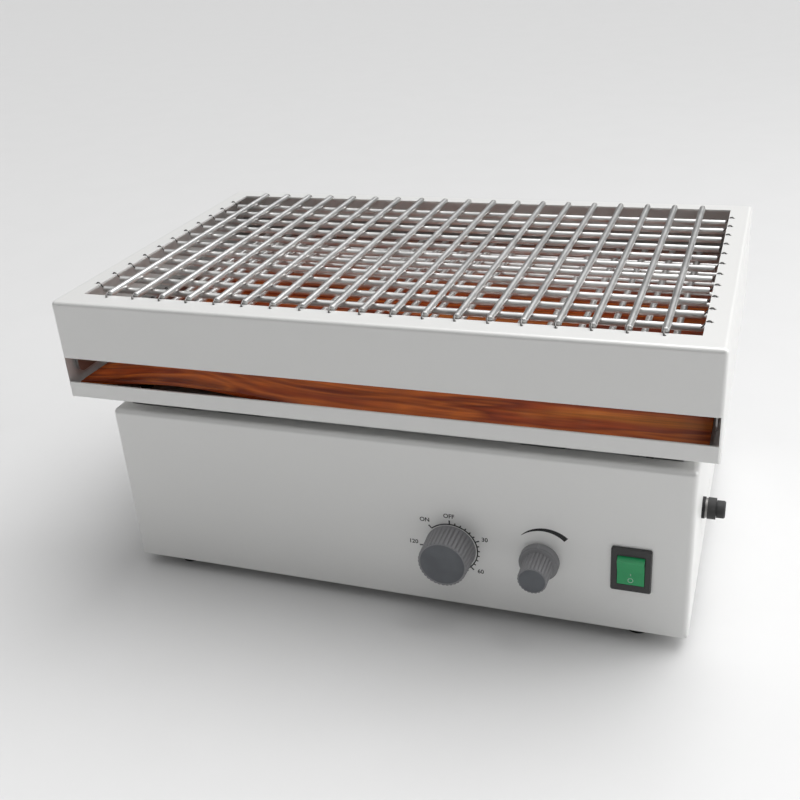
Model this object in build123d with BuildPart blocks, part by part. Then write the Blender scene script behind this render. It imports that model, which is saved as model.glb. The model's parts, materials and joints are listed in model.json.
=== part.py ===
from build123d import *
import os
from math import cos, pi, radians, sin, sqrt, tan

# A bench-top reciprocating shaker. A spring-topped deck slides left and right on two guide
# rods in the base, driven by a motor, a belt and a crank pin that runs in a yoke under the
# deck. Millimetres, +Z up, +X to the right of a person who faces the knobs, and the origin
# on the table under the middle of the machine.

os.makedirs("parts", exist_ok=True)

# ---- driving dimensions ----
sheet = 1.5            # thickness of the folded steel sheets
base_width = 416.6     # outer size of the base along X
base_depth = 285.2     # outer size of the base along Y
base_height = 126.5
foot_height = 10.0
base_x = 8.0           # middle of the base along X
middle_y = 10.0        # middle of the base and of the deck along Y

deck_width = 460.0
deck_depth = 290.0
deck_height = 74.5
deck_gap = 8.5         # air between the base and the deck
stroke = 20.0          # full travel of the deck, from the left end to the right end
lip_height = 11.8      # upstand in front of the tray
window_height = 19.4   # open slot between the upstand and the front band
rim_side = 16.0        # width of the top rim at the left and right
rim_front = 18.5
rim_back = 15.5

long_spring_count = 11    # springs that run left to right, in each layer
cross_spring_count = 19   # springs that run front to back, in each layer
spring_radius = 2.4
spring_wire_radius = 0.45
layer_drop = 35.5         # from the upper pair of spring layers to the lower pair
hook_hole_inset = 3.5     # from the edge of an opening to the row of hook holes

rod_radius = 5.0
rod_spacing = 190.0
rod_height = 116.0
crank_radius = stroke / 2
large_pulley_radius = 45.0
small_pulley_radius = 15.0
pulley_distance = 105.0
running_gap = 0.05        # radial clearance of a turning or sliding fit

timer_x, timer_z = 47.7, 45.8     # knob and switch places, from the base's middle and foot
speed_x, speed_z = 110.0, 46.0
switch_x, switch_z = 170.3, 49.2
fuse_from_front, fuse_z = 70.0, 59.0

# ---- levels and faces that follow ----
base_floor = foot_height
base_top = base_floor + base_height
deck_floor = base_top + deck_gap
deck_top = deck_floor + deck_height
lip_top = deck_floor + lip_height
band_floor = lip_top + window_height
deck_x = base_x - stroke / 2
base_left, base_right = base_x - base_width / 2, base_x + base_width / 2
base_front, base_back = middle_y - base_depth / 2, middle_y + base_depth / 2
deck_left, deck_right = deck_x - deck_width / 2, deck_x + deck_width / 2
deck_front, deck_back = middle_y - deck_depth / 2, middle_y + deck_depth / 2
opening_left, opening_right = deck_left + rim_side, deck_right - rim_side
opening_front, opening_back = deck_front + rim_front, deck_back - rim_back
opening_y = (opening_front + opening_back) / 2
opening_width = opening_right - opening_left
opening_depth = opening_back - opening_front
long_pitch = opening_depth / (long_spring_count + 1)
cross_pitch = opening_width / (cross_spring_count + 1)
plate_top = base_floor + 2 * sheet + 0.1


def block(low, high, mode=Mode.ADD):
    """Adds or cuts a box between two corners."""
    size = [b - a for a, b in zip(low, high)]
    with Locations(tuple((a + b) / 2 for a, b in zip(low, high))):
        Box(*size, mode=mode)


def bar(start, axis, radius, length, mode=Mode.ADD):
    """Adds or cuts a round bar that starts at a point and runs along an axis."""
    with BuildSketch(Plane(origin=start, z_dir=axis)) as disc:
        Circle(radius)
    extrude(disc.sketch, amount=length, mode=mode)


def polygon_bar(start, axis, across_flats, length, mode=Mode.ADD):
    """Adds a hexagonal bar, such as a nut, that starts at a point and runs along an axis."""
    with BuildSketch(Plane(origin=start, z_dir=axis)) as hexagon:
        RegularPolygon(across_flats / 2, 6, major_radius=False)
    extrude(hexagon.sketch, amount=length, mode=mode)


def rounded_shell(low, high, bend, thickness):
    """Adds a hollow box, open below, with round bends on its upright and top edges."""
    size = [b - a for a, b in zip(low, high)]
    for inset, mode in ((0.0, Mode.ADD), (thickness, Mode.SUBTRACT)):
        with BuildPart(mode=Mode.PRIVATE) as solid:
            with Locations(((low[0] + high[0]) / 2, (low[1] + high[1]) / 2, low[2])):
                Box(
                    size[0] - 2 * inset, size[1] - 2 * inset, size[2] - inset,
                    align=(Align.CENTER, Align.CENTER, Align.MIN),
                )
            fillet(solid.edges().filter_by(Axis.Z), bend - inset)
            fillet(solid.faces().sort_by(Axis.Z)[-1].edges(), bend - inset)
        add(solid.part, mode=mode)


def finish(builder, name):
    """Labels a finished piece and writes it."""
    builder.part.label = name
    export_step(builder.part, f"parts/{name}.step")


# ==== the deck ====

# ---- hood: top rim, front band, side walls and back of one folded sheet ----
with BuildPart() as deck_hood:
    rounded_shell((deck_left, deck_front, deck_floor), (deck_right, deck_back, deck_top), 3.0, sheet)
    block(
        (deck_left + sheet, deck_front - 1, deck_floor - 1),
        (deck_right - sheet, deck_front + 10, band_floor),
        Mode.SUBTRACT,
    )
    block(
        (opening_left, opening_front, deck_top - 5),
        (opening_right, opening_back, deck_top + 1),
        Mode.SUBTRACT,
    )
    hole_side = opening_width / 2 + hook_hole_inset
    hole_end = opening_depth / 2 + hook_hole_inset
    with Locations((deck_x, opening_y, deck_top)):
        with GridLocations(2 * hole_side, long_pitch, 2, long_spring_count):
            Cylinder(1.1, 8, mode=Mode.SUBTRACT)
        with GridLocations(cross_pitch, 2 * hole_end, cross_spring_count, 2):
            Cylinder(1.1, 8, mode=Mode.SUBTRACT)
finish(deck_hood, "deck_hood")

# ---- tray: deck floor with its front upstand, held between the side walls ----
bearing_x = 115.0
bearing_screw_x, bearing_screw_y = 20.0, 16.0
yoke_screw_y = 19.0
rod_y = [middle_y - rod_spacing / 2, middle_y + rod_spacing / 2]
bearing_places = [(deck_x + side * bearing_x, y) for side in (-1, 1) for y in rod_y]
deck_screw_places = [
    (x + sx * bearing_screw_x / 2, y + sy * bearing_screw_y / 2)
    for x, y in bearing_places for sx in (-1, 1) for sy in (-1, 1)
] + [(deck_x, middle_y + sy * yoke_screw_y) for sy in (-1, 1)]

with BuildPart() as deck_tray:
    block(
        (deck_left + sheet, deck_front, deck_floor),
        (deck_right - sheet, deck_back - sheet, deck_floor + sheet),
    )
    block(
        (deck_left + sheet, deck_front, deck_floor),
        (deck_right - sheet, deck_front + sheet, lip_top),
    )
    fillet(
        deck_tray.edges().filter_by(Axis.X).group_by(Axis.Z)[0].sort_by(Axis.Y)[0], 1.2
    )
    fillet(deck_tray.edges().filter_by(Axis.Z).group_by(Axis.Y)[-1], 2.0)
    with Locations(*[(x, y, deck_floor) for x, y in deck_screw_places]):
        Cylinder(2.1, 6, mode=Mode.SUBTRACT)
finish(deck_tray, "deck_tray")

# ---- board: loose thin panel that lies on the tray and carries the flasks ----
board_thickness = 3.0
board_half_width = 222.5
board_front, board_back = deck_front + 5.0, deck_back - 5.0
board_floor = deck_floor + sheet + 1.7

with BuildPart() as tray_board:
    block(
        (deck_x - board_half_width, board_front, board_floor),
        (deck_x + board_half_width, board_back, board_floor + board_thickness),
    )
finish(tray_board, "tray_board")

with BuildPart() as board_pads:
    with Locations((deck_x, middle_y, deck_floor + sheet)):
        with GridLocations(180, 120, 3, 3):
            Cylinder(5, 1.7, align=(Align.CENTER, Align.CENTER, Align.MIN))
finish(board_pads, "board_pads")

# ---- lower spring frame: inner ring with hanging side ears, spaced off the side walls ----
frame_sheet = 1.2
frame_top = deck_top - layer_drop
frame_ring_x = deck_width / 2 - sheet - 2.0
frame_ring_front, frame_ring_back = deck_front + sheet + 1.0, deck_back - sheet - 1.0
ear_floor = deck_floor + 15.0
ear_front, ear_back = deck_front + 10.0, deck_back - 10.0

with BuildPart() as lower_spring_frame:
    block(
        (deck_x - frame_ring_x, frame_ring_front, frame_top - frame_sheet),
        (deck_x + frame_ring_x, frame_ring_back, frame_top),
    )
    block(
        (opening_left, opening_front, frame_top - 5),
        (opening_right, opening_back, frame_top + 5),
        Mode.SUBTRACT,
    )
    for low_y in (frame_ring_front, frame_ring_back - frame_sheet):
        block(
            (deck_x - frame_ring_x, low_y, frame_top - frame_sheet),
            (deck_x + frame_ring_x, low_y + frame_sheet, frame_top + 12),
        )
    for low_x in (deck_x - frame_ring_x, deck_x + frame_ring_x - frame_sheet):
        with BuildSketch(Plane.YZ.offset(low_x)) as ear:
            with Locations(((ear_front + ear_back) / 2, (ear_floor + frame_top) / 2)):
                Rectangle(ear_back - ear_front, frame_top - ear_floor)
            fillet(ear.vertices().group_by(Axis.Z)[0], 6)
        extrude(ear.sketch, amount=frame_sheet)
    with Locations((deck_x, opening_y, frame_top)):
        with GridLocations(2 * hole_side, long_pitch, 2, long_spring_count):
            Cylinder(1.1, 8, mode=Mode.SUBTRACT)
        with GridLocations(cross_pitch, 2 * hole_end, cross_spring_count, 2):
            Cylinder(1.1, 8, mode=Mode.SUBTRACT)
finish(lower_spring_frame, "lower_spring_frame")

with BuildPart() as frame_spacers:
    for side in (-1, 1):
        start_x = deck_x + side * (deck_width / 2 - sheet)
        for y in (ear_front + 30, middle_y, ear_back - 30):
            bar((start_x, y, frame_top - 12), (-side, 0, 0), 4.0, 2.0)
finish(frame_spacers, "frame_spacers")

# ---- springs: close-wound bodies with a wire hook at each end ----
long_level = -4.1      # axis of the left-to-right springs, from the sheet they hook into
cross_level = 0.9      # axis of the front-to-back springs, which lie over them
long_half = opening_width / 2 - 4.2
cross_half = opening_depth / 2 - 3.6
over_rim = spring_wire_radius + 0.25
hook_floor = -2.4

with BuildPart() as long_spring:
    bar((-long_half, 0, long_level), (1, 0, 0), spring_radius, 2 * long_half)
    for side in (-1, 1):
        with BuildLine() as long_hook:
            FilletPolyline(
                (side * (long_half - 1), 0, long_level),
                (side * (long_half + 1.6), 0, long_level),
                (side * (long_half + 2.9), 0, over_rim),
                (side * hole_side, 0, over_rim),
                (side * hole_side, 0, hook_floor),
                radius=0.6,
            )
        with BuildSketch(Plane(origin=long_hook.line @ 0, z_dir=long_hook.line % 0)) as wire:
            Circle(spring_wire_radius)
        sweep(wire.sketch, path=long_hook.line)

with BuildPart() as cross_spring:
    bar((0, -cross_half, cross_level), (0, 1, 0), spring_radius, 2 * cross_half)
    for side in (-1, 1):
        with BuildLine() as cross_hook:
            FilletPolyline(
                (0, side * (cross_half - 1), cross_level),
                (0, side * hole_end, cross_level),
                (0, side * hole_end, hook_floor),
                radius=0.8,
            )
        with BuildSketch(Plane(origin=cross_hook.line @ 0, z_dir=cross_hook.line % 0)) as wire:
            Circle(spring_wire_radius)
        sweep(wire.sketch, path=cross_hook.line)

for layer, level in (("upper", deck_top), ("lower", frame_top)):
    with BuildPart() as long_springs:
        with Locations((deck_x, opening_y, level)):
            with GridLocations(1, long_pitch, 1, long_spring_count):
                add(long_spring.part)
    finish(long_springs, f"{layer}_long_springs")
    with BuildPart() as cross_springs:
        with Locations((deck_x, opening_y, level)):
            with GridLocations(cross_pitch, 1, cross_spring_count, 1):
                add(cross_spring.part)
    finish(cross_springs, f"{layer}_cross_springs")

# ---- bearing blocks with linear bushes, hung under the tray ----
bush_radius, bush_length = 9.5, 29.0
block_width, block_length = 28.0, 30.0
block_floor = rod_height - 13.0

with BuildPart() as bearing_blocks:
    for x, y in bearing_places:
        block(
            (x - block_length / 2, y - block_width / 2, block_floor),
            (x + block_length / 2, y + block_width / 2, deck_floor),
        )
        bar((x - block_length / 2 - 1, y, rod_height), (1, 0, 0), bush_radius,
            block_length + 2, Mode.SUBTRACT)
    with Locations(*[(x, y, deck_floor) for x, y in deck_screw_places[:-2]]):
        Cylinder(2.0, 12, align=(Align.CENTER, Align.CENTER, Align.MAX), mode=Mode.SUBTRACT)
finish(bearing_blocks, "bearing_blocks")

with BuildPart() as linear_bushes:
    for x, y in bearing_places:
        bar((x - bush_length / 2, y, rod_height), (1, 0, 0), bush_radius, bush_length)
        bar((x - bush_length / 2 - 1, y, rod_height), (1, 0, 0), rod_radius + running_gap,
            bush_length + 2, Mode.SUBTRACT)
finish(linear_bushes, "linear_bushes")

# ---- yoke: inverted channel across the deck, in which the crank roller runs ----
roller_radius = 9.5
roller_gap = 2.4       # play between the roller and each wall of the yoke
yoke_wall = 4.0
yoke_inner = roller_radius + roller_gap
yoke_floor = deck_floor - 18.0
yoke_half_length = 27.0

with BuildPart() as yoke_channel:
    block(
        (deck_x - yoke_inner - yoke_wall, middle_y - yoke_half_length, yoke_floor),
        (deck_x + yoke_inner + yoke_wall, middle_y + yoke_half_length, deck_floor),
    )
    block(
        (deck_x - yoke_inner, middle_y - yoke_half_length - 1, yoke_floor - 1),
        (deck_x + yoke_inner, middle_y + yoke_half_length + 1, deck_floor - yoke_wall),
        Mode.SUBTRACT,
    )
    with Locations(*[(x, y, deck_floor) for x, y in deck_screw_places[-2:]]):
        Cylinder(2.0, 12, mode=Mode.SUBTRACT)
finish(yoke_channel, "yoke_channel")

# low screw heads stay under the board, which rests on its pads
with BuildPart() as deck_screws:
    for x, y in deck_screw_places:
        length = 10.0 if (x, y) in deck_screw_places[:-2] else 3.9
        bar((x, y, deck_floor + sheet + 1.4), (0, 0, -1), 3.6, 1.4)
        bar((x, y, deck_floor + sheet), (0, 0, -1), 1.95, sheet + length)
finish(deck_screws, "deck_screws")

# ==== the base ====

top_opening_inset_front = 11.6
top_opening_half_width = 198.2
flange = 32.0
panel_front = base_front
panel_back = base_front + sheet
timer_centre = (base_x + timer_x, base_floor + timer_z)
speed_centre = (base_x + speed_x, base_floor + speed_z)
switch_centre = (base_x + switch_x, base_floor + switch_z)
fuse_y, fuse_level = base_front + fuse_from_front, base_floor + fuse_z
inlet_x, inlet_z = base_x + 120.0, base_floor + 40.0
cover_screw_places = [
    (base_x + side_x * 150.0, middle_y + side_y * (base_depth / 2 - sheet - 6.0))
    for side_x in (-1, 1) for side_y in (-1, 1)
] + [(base_x + side_x * (base_width / 2 - sheet - 6.0), middle_y) for side_x in (-1, 1)]
foot_places = [
    (base_x + side_x * 174.0, middle_y + side_y * 124.6)
    for side_x in (-1, 1) for side_y in (-1, 1)
]
vent_places_right = [(base_front + 86.0 + step * 14.0, base_floor + 27.0) for step in range(6)]
plate_low = base_floor + sheet + 0.05
plate_high = plate_low + sheet
plate_half_x = base_width / 2 - sheet - 0.6
plate_half_y = base_depth / 2 - sheet - 0.6

# ---- cover: front, sides, back and pierced top, with a flange turned in below ----
with BuildPart() as base_cover:
    rounded_shell((base_left, base_front, base_floor), (base_right, base_back, base_top), 4.0, sheet)
    block(
        (base_left + sheet / 2, base_front + sheet / 2, base_floor),
        (base_right - sheet / 2, base_back - sheet / 2, base_floor + sheet),
    )
    block(
        (base_left + sheet + flange, base_front + sheet + flange, base_floor - 1),
        (base_right - sheet - flange, base_back - sheet - flange, base_floor + sheet + 1),
        Mode.SUBTRACT,
    )
    block(
        (base_x - top_opening_half_width, base_front + top_opening_inset_front, base_top - 5),
        (base_x + top_opening_half_width, base_back - top_opening_inset_front, base_top + 1),
        Mode.SUBTRACT,
    )
    bar((timer_centre[0], panel_front - 1, timer_centre[1]), (0, 1, 0), 5.0, 4, Mode.SUBTRACT)
    bar((speed_centre[0], panel_front - 1, speed_centre[1]), (0, 1, 0), 4.0, 4, Mode.SUBTRACT)
    block(
        (switch_centre[0] - 10.9, panel_front - 1, switch_centre[1] - 14.4),
        (switch_centre[0] + 10.9, panel_front + 3, switch_centre[1] + 14.4),
        Mode.SUBTRACT,
    )
    bar((base_right + 1, fuse_y, fuse_level), (-1, 0, 0), 6.3, 4, Mode.SUBTRACT)
    for y, z in vent_places_right:
        for wall_x in (base_right, base_left):
            block((wall_x - 3, y - 0.9, z - 5.5), (wall_x + 3, y + 0.9, z + 5.5), Mode.SUBTRACT)
    block(
        (inlet_x - 13.8, base_back - 3, inlet_z - 9.8),
        (inlet_x + 13.8, base_back + 1, inlet_z + 9.8),
        Mode.SUBTRACT,
    )
    with Locations((inlet_x, base_back, inlet_z)):
        with Locations((-20, 0, 0), (20, 0, 0)):
            Cylinder(1.7, 6, rotation=(90, 0, 0), mode=Mode.SUBTRACT)
    with Locations(*[(x, y, base_floor) for x, y in cover_screw_places]):
        Cylinder(1.6, 6, mode=Mode.SUBTRACT)
    with Locations(*[(x, y, base_floor) for x, y in foot_places]):
        Cylinder(2.6, 6, mode=Mode.SUBTRACT)
finish(base_cover, "base_cover")

# ---- bottom plate: lies on the flange and carries the drive ----
support_x = 165.0
support_places = [base_x - support_x, base_x + support_x]
crank_centre = (base_x, middle_y)
motor_centre = (base_x - pulley_distance, middle_y)
bracket_screw_places = [
    (motor_centre[0] + side_x * 49.5, motor_centre[1] + side_y * 30.0)
    for side_x in (-1, 1) for side_y in (-1, 1)
]
pedestal_screw_places = [
    (crank_centre[0] + 33.0 * cos(radians(a)), crank_centre[1] + 33.0 * sin(radians(a)))
    for a in (45, 135, 225, 315)
]
support_screw_places = [
    (base_x + side_x * (support_x + 12.0), middle_y + side_y * 85.0)
    for side_x in (-1, 1) for side_y in (-1, 1)
]
board_centre = (base_x + 95.0, middle_y + 40.0)
standoff_places = [
    (board_centre[0] + sx * 42.0, board_centre[1] + sy * 30.0) for sx in (-1, 1) for sy in (-1, 1)
]
drive_screw_places = bracket_screw_places + pedestal_screw_places + support_screw_places

with BuildPart() as bottom_plate:
    block(
        (base_x - plate_half_x, middle_y - plate_half_y, plate_low),
        (base_x + plate_half_x, middle_y + plate_half_y, plate_high),
    )
    fillet(bottom_plate.edges().filter_by(Axis.Z), 4.0)
    with Locations(*[(x, y, plate_low) for x, y in drive_screw_places + standoff_places]):
        Cylinder(2.1, 6, mode=Mode.SUBTRACT)
    with Locations(*[(x, y, plate_low) for x, y in foot_places]):
        Cylinder(2.6, 6, mode=Mode.SUBTRACT)
    with Locations(*[(x, y, plate_low) for x, y in cover_screw_places]):
        Cylinder(1.6, 6, mode=Mode.SUBTRACT)
finish(bottom_plate, "bottom_plate")

with BuildPart() as cover_screws:
    for x, y in cover_screw_places:
        bar((x, y, base_floor - 1.8), (0, 0, 1), 3.0, 1.8)
        bar((x, y, base_floor - 0.1), (0, 0, 1), 1.5, 8.0)
finish(cover_screws, "cover_screws")

# ---- rubber feet and their screws ----
with BuildPart() as rubber_feet:
    for x, y in foot_places:
        with BuildSketch(Plane.XY) as tread:
            with Locations((x, y)):
                Circle(8.0)
        extrude(tread.sketch, amount=base_floor, taper=-4)
        bar((x, y, -1), (0, 0, 1), 5.0, 5.0, Mode.SUBTRACT)
        bar((x, y, -1), (0, 0, 1), 2.6, 20.0, Mode.SUBTRACT)
finish(rubber_feet, "rubber_feet")

with BuildPart() as foot_screws:
    for x, y in foot_places:
        bar((x, y, 1.6), (0, 0, 1), 4.4, 2.4)
        bar((x, y, 3.9), (0, 0, 1), 2.45, plate_high + 6.0 - 3.9)
finish(foot_screws, "foot_screws")

# ---- guide rods in upright end plates ----
support_sheet = 6.0
support_half_depth = 106.0
support_top = rod_height + 10.0

with BuildPart() as rod_supports:
    for x, outward in ((support_places[0], -1), (support_places[1], 1)):
        block(
            (x - support_sheet / 2, middle_y - support_half_depth, plate_high),
            (x + support_sheet / 2, middle_y + support_half_depth, support_top),
        )
        foot_low, foot_high = sorted((x, x + outward * 20.0))
        block(
            (foot_low, middle_y - support_half_depth, plate_high),
            (foot_high, middle_y + support_half_depth, plate_high + 4.0),
        )
        block(
            (x - support_sheet, middle_y - 62.0, plate_high + 22.0),
            (x + support_sheet, middle_y + 62.0, support_top + 1),
            Mode.SUBTRACT,
        )
        for y in rod_y:
            bar((x - 10, y, rod_height), (1, 0, 0), rod_radius, 20, Mode.SUBTRACT)
        for y in (middle_y - 85.0, middle_y + 85.0):
            bar((x + outward * 12.0, y, plate_high - 1), (0, 0, 1), 2.1, 6, Mode.SUBTRACT)
finish(rod_supports, "rod_supports")

rod_half_length = support_x + support_sheet / 2 + 1.0
with BuildPart() as guide_rods:
    for y in rod_y:
        bar((base_x - rod_half_length, y, rod_height), (1, 0, 0), rod_radius, 2 * rod_half_length)
    chamfer(guide_rods.edges().filter_by(GeomType.CIRCLE), 0.6)
finish(guide_rods, "guide_rods")

# ---- crank: pedestal, two bearings, shaft, pulley disc, pin and roller ----
shaft_radius = 5.0
bearing_radius, bearing_height = 15.0, 9.0
pedestal_top = 84.0
lower_bearing, upper_bearing = plate_high + 8.0, pedestal_top - 9.0
pulley_floor = pedestal_top + 3.0
pulley_height = 12.0
pin_radius = 3.0
roller_floor = yoke_floor + 3.0
roller_height = 6.0
pin_x = crank_centre[0] - crank_radius

with BuildPart() as crank_pedestal:
    bar((*crank_centre, plate_high), (0, 0, 1), 40.0, 6.0)
    bar((*crank_centre, plate_high), (0, 0, 1), 21.0, pedestal_top - plate_high)
    bar((*crank_centre, plate_high - 1), (0, 0, 1), 12.0, 100.0, Mode.SUBTRACT)
    bar((*crank_centre, lower_bearing - 9.0), (0, 0, 1), bearing_radius,
        bearing_height + 9.0, Mode.SUBTRACT)
    bar((*crank_centre, upper_bearing), (0, 0, 1), bearing_radius, 20.0, Mode.SUBTRACT)
    for x, y in pedestal_screw_places:
        bar((x, y, plate_high - 1), (0, 0, 1), 2.1, 10.0, Mode.SUBTRACT)
finish(crank_pedestal, "crank_pedestal")

with BuildPart() as crank_bearings:
    for level in (lower_bearing, upper_bearing):
        bar((*crank_centre, level), (0, 0, 1), bearing_radius, bearing_height)
        bar((*crank_centre, level - 1), (0, 0, 1), shaft_radius + running_gap,
            bearing_height + 2, Mode.SUBTRACT)
finish(crank_bearings, "crank_bearings")

with BuildPart() as crank_shaft:
    bar((*crank_centre, lower_bearing - 1.0), (0, 0, 1), shaft_radius,
        pulley_floor + pulley_height - lower_bearing + 1.0)
    bar((*crank_centre, upper_bearing + bearing_height + 0.3), (0, 0, 1), 7.0,
        pulley_floor - upper_bearing - bearing_height - 0.3)
finish(crank_shaft, "crank_shaft")

with BuildPart() as crank_pulley:
    with BuildSketch(Plane.XZ.offset(-crank_centre[1])) as half_section:
        with BuildLine():
            Polyline(
                (crank_centre[0], pulley_floor),
                (crank_centre[0] + large_pulley_radius + 2, pulley_floor),
                (crank_centre[0] + large_pulley_radius + 2, pulley_floor + 1.2),
                (crank_centre[0] + large_pulley_radius, pulley_floor + 2.2),
                (crank_centre[0] + large_pulley_radius, pulley_floor + pulley_height - 2.2),
                (crank_centre[0] + large_pulley_radius + 2, pulley_floor + pulley_height - 1.2),
                (crank_centre[0] + large_pulley_radius + 2, pulley_floor + pulley_height),
                (crank_centre[0], pulley_floor + pulley_height),
                close=True,
            )
        make_face()
    revolve(half_section.sketch, axis=Axis((*crank_centre, 0), (0, 0, 1)))
    bar((*crank_centre, pulley_floor - 1), (0, 0, 1), shaft_radius, 20.0, Mode.SUBTRACT)
    bar((pin_x, middle_y, pulley_floor - 1), (0, 0, 1), pin_radius, 20.0, Mode.SUBTRACT)
    with Locations((*crank_centre, pulley_floor + pulley_height / 2)):
        with PolarLocations(29.0, 5, start_angle=36.0):
            Cylinder(8.0, 20, mode=Mode.SUBTRACT)
finish(crank_pulley, "crank_pulley")

with BuildPart() as crank_pin:
    bar((pin_x, middle_y, pulley_floor + 1), (0, 0, 1), pin_radius, deck_floor - 8.0 - pulley_floor)
    bar((pin_x, middle_y, roller_floor + roller_height + 0.3), (0, 0, 1), pin_radius + 0.5, 1.2,
        Mode.SUBTRACT)
    bar((pin_x, middle_y, roller_floor + roller_height + 0.3), (0, 0, 1), pin_radius - 0.5, 1.2)
finish(crank_pin, "crank_pin")

with BuildPart() as pin_sleeve:
    bar((pin_x, middle_y, pulley_floor + pulley_height), (0, 0, 1), 4.8,
        roller_floor - pulley_floor - pulley_height)
    bar((pin_x, middle_y, pulley_floor), (0, 0, 1), pin_radius, 80.0, Mode.SUBTRACT)
finish(pin_sleeve, "pin_sleeve")

with BuildPart() as crank_roller:
    bar((pin_x, middle_y, roller_floor), (0, 0, 1), roller_radius, roller_height)
    bar((pin_x, middle_y, roller_floor - 1), (0, 0, 1), pin_radius, roller_height + 2, Mode.SUBTRACT)
    chamfer(crank_roller.edges().filter_by(GeomType.CIRCLE).group_by(SortBy.RADIUS)[-1], 0.5)
finish(crank_roller, "crank_roller")

with BuildPart() as pin_clip:
    bar((pin_x, middle_y, roller_floor + roller_height + 0.4), (0, 0, 1), 4.6, 0.9)
    bar((pin_x, middle_y, roller_floor + roller_height), (0, 0, 1), pin_radius - 0.4, 3.0,
        Mode.SUBTRACT)
    block(
        (pin_x, middle_y - 1.3, roller_floor + roller_height),
        (pin_x + 6, middle_y + 1.3, roller_floor + roller_height + 3),
        Mode.SUBTRACT,
    )
finish(pin_clip, "pin_clip")

# ---- motor under a bridge bracket, with its pulley and the belt ----
motor_radius = 38.0
motor_floor, motor_top = plate_high + 1.0, 78.0
bridge_top = motor_top + 3.0
motor_screw_places = [
    (motor_centre[0] + 28.0 * cos(radians(a)), motor_centre[1] + 28.0 * sin(radians(a)))
    for a in (45, 135, 225, 315)
]

with BuildPart() as motor_bracket:
    for side in (-1, 1):
        inner, outer = sorted((motor_centre[0] + side * 42.0, motor_centre[0] + side * 45.0))
        block((inner, middle_y - 38, plate_high), (outer, middle_y + 38, bridge_top))
        inner, outer = sorted((motor_centre[0] + side * 42.0, motor_centre[0] + side * 56.0))
        block((inner, middle_y - 38, plate_high), (outer, middle_y + 38, plate_high + 3.0))
    block(
        (motor_centre[0] - 45, middle_y - 38, motor_top),
        (motor_centre[0] + 45, middle_y + 38, bridge_top),
    )
    bar((*motor_centre, motor_top - 1), (0, 0, 1), 12.0, 6.0, Mode.SUBTRACT)
    for x, y in motor_screw_places:
        bar((x, y, motor_top - 1), (0, 0, 1), 2.1, 6.0, Mode.SUBTRACT)
    for x, y in bracket_screw_places:
        bar((x, y, plate_high - 1), (0, 0, 1), 2.1, 6.0, Mode.SUBTRACT)
finish(motor_bracket, "motor_bracket")

with BuildPart() as motor_housing:
    bar((*motor_centre, motor_floor), (0, 0, 1), motor_radius, motor_top - motor_floor)
    fillet(motor_housing.edges().filter_by(GeomType.CIRCLE), 3.0)
    with Locations((*motor_centre, (motor_floor + motor_top) / 2)):
        with PolarLocations(motor_radius, 24):
            Box(3.0, 2.4, motor_top - motor_floor - 20, mode=Mode.SUBTRACT)
    bar((*motor_centre, motor_floor + 12), (0, 0, 1), 4.0 + running_gap, 80.0, Mode.SUBTRACT)
    for x, y in motor_screw_places:
        bar((x, y, motor_top - 10), (0, 0, 1), 2.0, 20.0, Mode.SUBTRACT)
finish(motor_housing, "motor_housing")

with BuildPart() as motor_shaft:
    bar((*motor_centre, motor_floor + 13), (0, 0, 1), 4.0, pulley_floor + pulley_height
        - motor_floor - 13)
finish(motor_shaft, "motor_shaft")

with BuildPart() as motor_pulley:
    bar((*motor_centre, pulley_floor), (0, 0, 1), small_pulley_radius, pulley_height)
    bar((*motor_centre, pulley_floor), (0, 0, 1), small_pulley_radius + 2, 1.6)
    bar((*motor_centre, pulley_floor + pulley_height - 1.6), (0, 0, 1), small_pulley_radius + 2, 1.6)
    bar((*motor_centre, pulley_floor - 1), (0, 0, 1), 4.0, 20.0, Mode.SUBTRACT)
finish(motor_pulley, "motor_pulley")

# the belt is the band between two offset outlines of the pair of pulleys
belt_gap, belt_thickness, belt_width = 0.3, 1.6, 6.0
belt_lean = (large_pulley_radius - small_pulley_radius) / pulley_distance


def belt_outline(offset_from_pulley):
    """Draws the loop around both pulleys at a distance from their rims."""
    large = large_pulley_radius + offset_from_pulley
    small = small_pulley_radius + offset_from_pulley
    along, across = belt_lean, sqrt(1 - belt_lean**2)
    crank_top = (crank_centre[0] - large * along, middle_y + large * across)
    crank_bottom = (crank_centre[0] - large * along, middle_y - large * across)
    motor_top_point = (motor_centre[0] - small * along, middle_y + small * across)
    motor_bottom_point = (motor_centre[0] - small * along, middle_y - small * across)
    with BuildLine() as loop:
        Line(crank_top, motor_top_point)
        ThreePointArc(motor_top_point, (motor_centre[0] - small, middle_y), motor_bottom_point)
        Line(motor_bottom_point, crank_bottom)
        ThreePointArc(crank_bottom, (crank_centre[0] + large, middle_y), crank_top)
    return loop.line


with BuildPart() as drive_belt:
    belt_floor = pulley_floor + (pulley_height - belt_width) / 2
    for outline, mode in (
        (belt_outline(belt_gap + belt_thickness), Mode.ADD),
        (belt_outline(belt_gap), Mode.SUBTRACT),
    ):
        with BuildSketch(Plane.XY.offset(belt_floor)) as loop_face:
            make_face(outline.edges())
        extrude(loop_face.sketch, amount=belt_width, mode=mode)
finish(drive_belt, "drive_belt")

with BuildPart() as drive_screws:
    for places, clamp in (
        (bracket_screw_places, 3.0), (pedestal_screw_places, 6.0), (support_screw_places, 4.0),
    ):
        for x, y in places:
            bar((x, y, plate_high + clamp), (0, 0, 1), 3.5, 2.6)
            bar((x, y, plate_low), (0, 0, 1), 1.95, plate_high - plate_low + clamp + 0.1)
    for x, y in motor_screw_places:
        bar((x, y, bridge_top), (0, 0, 1), 3.5, 2.6)
        bar((x, y, bridge_top + 0.1), (0, 0, -1), 1.95, 8.0)
finish(drive_screws, "drive_screws")

# ---- speed control board on four standoffs ----
board_level = plate_high + 10.0

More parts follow.
